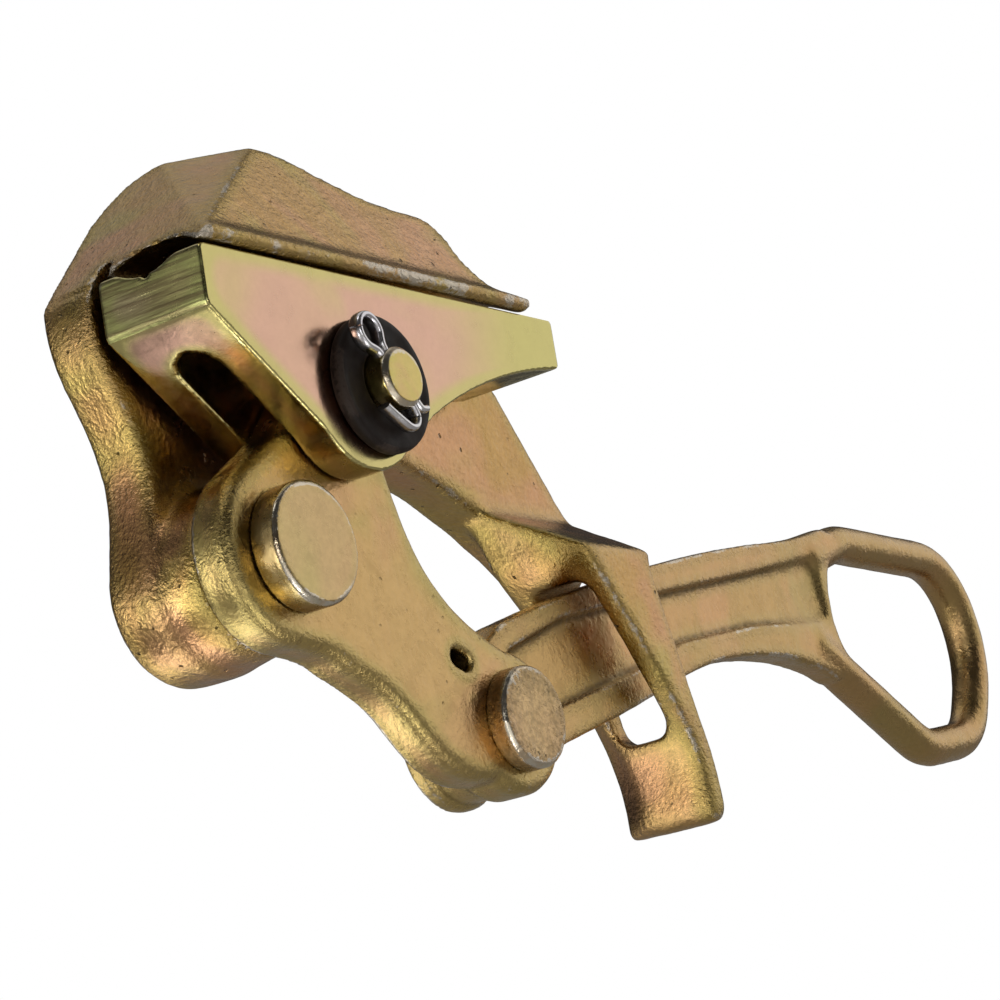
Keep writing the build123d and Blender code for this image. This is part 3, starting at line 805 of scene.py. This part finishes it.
@dataclass
class SplitPin:
    """A doubled half-round wire: an eye, two legs through the jaw pin, and bent tails."""

    centre: Vector
    width: float = 3.4 * MM
    thickness: float = 1.75 * MM

    def build(self) -> bpy.types.Object:
        """Bend the wire along its route, in the plane across the jaw pin.

        Returns:
            The finished piece, riding on the jaw pin.
        """
        along = Vector((math.cos(CROSS_HOLE_ANGLE), 0, math.sin(CROSS_HOLE_ANGLE)))
        aside = Vector((0, -1, 0)).cross(along)
        origin = Vector((self.centre.x, CROSS_HOLE_Y, self.centre.z))
        gap = self.thickness / 2 + 0.05 * MM
        route = [(-1.6, 9.0), (-4.6, 7.8), (-7.4, 6.6), (-9.6, 5.5), (-10.6, 4.0), (-10.2, 2.2),
                 (-8.6, gap / MM), (0, gap / MM), (7.6, gap / MM), (9.2, 1.9), (10.8, 3.2),
                 (13.2, 3.5), (15.6, 2.4), (16.6, 0), (15.6, -2.4), (13.2, -3.5), (10.8, -3.2),
                 (9.2, -1.9), (7.6, -gap / MM), (0, -gap / MM), (-8.0, -gap / MM),
                 (-9.4, -1.6), (-10.0, -3.0)]
        line = bpy.data.curves.new("split_pin_route", "CURVE")
        line.dimensions = "3D"
        spline = line.splines.new("NURBS")
        spline.points.add(len(route) - 1)
        for point, (s, t) in zip(spline.points, route):
            place = origin + (along * s + aside * t) * MM
            point.co = (*place, 1)
        spline.order_u = 3
        spline.use_endpoint_u = True
        line.resolution_u = 8
        line.twist_mode = "Z_UP"
        deselect_all()
        bpy.ops.curve.primitive_bezier_circle_add(radius=1 * MM)
        section = bpy.context.object
        section.data.resolution_u = 5
        for point in section.data.splines[0].bezier_points:
            for handle in (point.co, point.handle_left, point.handle_right):
                handle.x *= self.width / 2 / MM
                handle.y *= self.thickness / 2 / MM
        line.bevel_mode = "OBJECT"
        line.bevel_object = section
        line.use_fill_caps = True
        wire = bpy.data.objects.new("split_pin_wire", line)
        bpy.context.scene.collection.objects.link(wire)
        pick(wire)
        bpy.ops.object.convert(target="MESH")
        piece = bpy.context.object
        bpy.data.objects.remove(section)
        bpy.ops.object.mode_set(mode="EDIT")
        bpy.ops.mesh.select_all(action="SELECT")
        bpy.ops.mesh.remove_doubles(threshold=0.005 * MM)
        bpy.ops.mesh.normals_make_consistent(inside=False)
        bpy.ops.object.mode_set(mode="OBJECT")
        record_relief(piece, 1 * MM)
        piece.data.materials.append(ZINC_WIRE.material())
        finish_piece(piece, "jaw_pin", "zinc_wire", "split_pin")
        return piece


# ---------------------------------------------------------------- studio
@dataclass
class Panel:
    """A square soft light that the camera doesn't see."""

    name: str
    place: Vector
    aim: Vector
    size: float
    glow: float

    def build(self) -> None:
        """Hang the panel; its power follows from its glow and its area."""
        data = bpy.data.lights.new(self.name, "AREA")
        data.size = self.size
        data.energy = 4 * self.glow * self.size ** 2
        lamp = bpy.data.objects.new(self.name, data)
        bpy.context.scene.collection.objects.link(lamp)
        lamp.location = self.place
        lamp.rotation_mode = "QUATERNION"
        lamp.rotation_quaternion = (self.aim - self.place).to_track_quat("-Z", "Y")
        lamp.visible_camera = False


@dataclass
class Studio:
    """Pale floor, soft lights and the camera.

    Each of the room's bright lobes has its direction, the angles in degrees where it starts to
    fade and where it ends, and its glow.
    """

    camera_place: Vector = Vector((-0.545637, -0.418980, -0.209002))
    look: Vector = Vector((0.80383, 0.55217, 0.22130))
    up: Vector = Vector((-0.08699, -0.25891, 0.96198))
    lens: float = 115.74
    floor_drop: float = 0.118
    base_glow: float = 0.05
    lobes: tuple[tuple[Colour, float, float, float], ...] = (
        ((0.80, -0.47, 0.34), 26, 40, 0.97), ((0.14, 0.28, 0.95), 16, 40, 0.58),
        ((-0.80, 0.52, 0.30), 8, 22, 0.50))

    def build(self) -> None:
        """Set up the camera, floor, world and lights."""
        self.add_camera()
        self.add_floor()
        self.add_world()
        middle = (CAD_LOW + CAD_HIGH) / 2
        boss = Vector((-0.024, 0.010, -0.080))
        loop = Vector((0.100, 0.000, -0.080))
        for panel in (
                Panel("tail_panel", loop + Vector((-0.727, 0.497, -0.048)), loop, 0.16, 2.9),
                Panel("boss_panel", boss + Vector((-0.306, 0.105, -0.120)), boss, 0.14, 4.5),
                Panel("boss_strip", boss + Vector((-0.038, 0.054, -0.133)), boss, 0.04, 3.5),
                Panel("rim_strip", boss + Vector((-0.022, -0.093, -0.133)), boss, 0.05, 5.0),
                Panel("loop_panel", loop + Vector((-0.105, 0.120, -0.132)), loop, 0.09, 2.0),
                Panel("table_panel", boss + Vector((-0.03, -0.17, -0.13)), boss, 0.18, 0.55),
                Panel("camera_panel", loop + Vector((-0.60, -0.50, -0.08)), loop, 0.22, 3.0),
                Panel("upper_strip", middle + Vector((-0.50, -0.06, 0.75)), middle, 0.20, 2.4)):
            panel.build()

    def add_camera(self) -> None:
        """Place the camera and make it the scene's own."""
        data = bpy.data.cameras.new("camera")
        data.lens = self.lens
        data.sensor_width = 36
        data.clip_start = 0.01
        camera = bpy.data.objects.new("camera", data)
        bpy.context.scene.collection.objects.link(camera)
        right = self.look.cross(self.up)
        turn = Matrix((right, self.up, -self.look)).transposed()
        camera.matrix_world = Matrix.Translation(self.camera_place) @ turn.to_4x4()
        bpy.context.scene.camera = camera

    def add_floor(self) -> None:
        """Lay a wide pale floor well under the part, open to a view from below."""
        deselect_all()
        bpy.ops.mesh.primitive_plane_add(size=8, location=(0, 0, CAD_LOW.z - self.floor_drop))
        floor = bpy.context.object
        floor.name = "floor"
        made = bpy.data.materials.new("floor_paint")
        made.use_nodes = True
        board = Board(made.node_tree)
        paint = board.add("BsdfDiffuse", {"Color": (0.80, 0.79, 0.78, 1)})
        clear = board.add("BsdfTransparent")
        back = board.add("NewGeometry").outputs["Backfacing"]
        shown = board.add("MixShader", {0: back, 1: paint.outputs[0], 2: clear.outputs[0]})
        board.add("OutputMaterial", {"Surface": shown.outputs[0]})
        floor.data.materials.append(made)

    def add_world(self) -> None:
        """A room that is pale in front of the part and dark behind it, white to the camera."""
        world = bpy.data.worlds.new("room")
        bpy.context.scene.world = world
        world.use_nodes = True
        board = Board(world.node_tree)
        direction = board.add("TexCoord").outputs["Generated"]
        level = self.base_glow
        for aim, inner, outer, glow in self.lobes:
            turn = board.add("VectorMath", {0: direction, 1: Vector(aim).normalized()},
                             operation="DOT_PRODUCT").outputs["Value"]
            lobe = board.ramp(turn, math.cos(math.radians(outer)),
                              math.cos(math.radians(inner)), 0, glow)
            level = board.maths("ADD", lobe, level)
        room = board.add("Background", {"Color": (1, 0.985, 0.96, 1), "Strength": level})
        white = board.add("Background", {"Color": (1, 1, 1, 1), "Strength": 1.0})
        seen = board.add("LightPath").outputs["Is Camera Ray"]
        both = board.add("MixShader", {0: seen, 1: room.outputs[0], 2: white.outputs[0]})
        board.add("OutputWorld", {"Surface": both.outputs[0]})


def main() -> None:
    """Build the studio, the shared node groups and every piece of the grip."""
    Studio().build()
    bpy.context.scene.view_settings.view_transform = "Standard"
    drift_group()
    wear_and_crease_shade_group()
    skin_group()
    pieces = [
        BodyForging("body_forging", "frame", "forged_dichromate", FORGED_BODY,
                    voxel=0.8 * MM, even_rounds=4, lump_height=0.22 * MM,
                    lump_spacing=5 * MM, rim_width=4 * MM),
        MovingJaw("moving_jaw", "jaw", "machined_dichromate", JAW_STEEL,
                  voxel=0.50 * MM, even_rounds=12, rim_width=5 * MM),
        Forging("lever", "lever", "forged_dichromate", FORGED_LEVER,
                voxel=0.6 * MM, even_rounds=8, lump_height=0.22 * MM,
                lump_spacing=6 * MM, rim_width=3 * MM),
        PullShank("pull_shank", "shank", "forged_dichromate", FORGED_SHANK,
                  voxel=0.65 * MM, even_rounds=14, lump_height=0.18 * MM,
                  lump_spacing=6 * MM, rim_width=3 * MM),
        RivetedPin("lever_pin", "frame", PIVOTS["lever_pivot"], PIN_STEEL,
                   head_back=-6.7 * MM, shaft=11 * MM, rivet=13.6 * MM,
                   bevel=0.8 * MM, head_lumps=0.08 * MM),
        RivetedPin("shank_pin", "lever", PIVOTS["shank_pivot"], UPSET_STEEL,
                   head_back=-6.4 * MM, shaft=9 * MM, rivet=11.4 * MM,
                   bevel=0.9 * MM, head_lumps=0.30 * MM),
        JawPin(PIVOTS["jaw_pivot"]),
        Washer(PIVOTS["jaw_pivot"]),
        SplitPin(PIVOTS["jaw_pivot"]),
    ]
    for part in pieces:
        part.build()


if __name__ == "__main__":
    main()
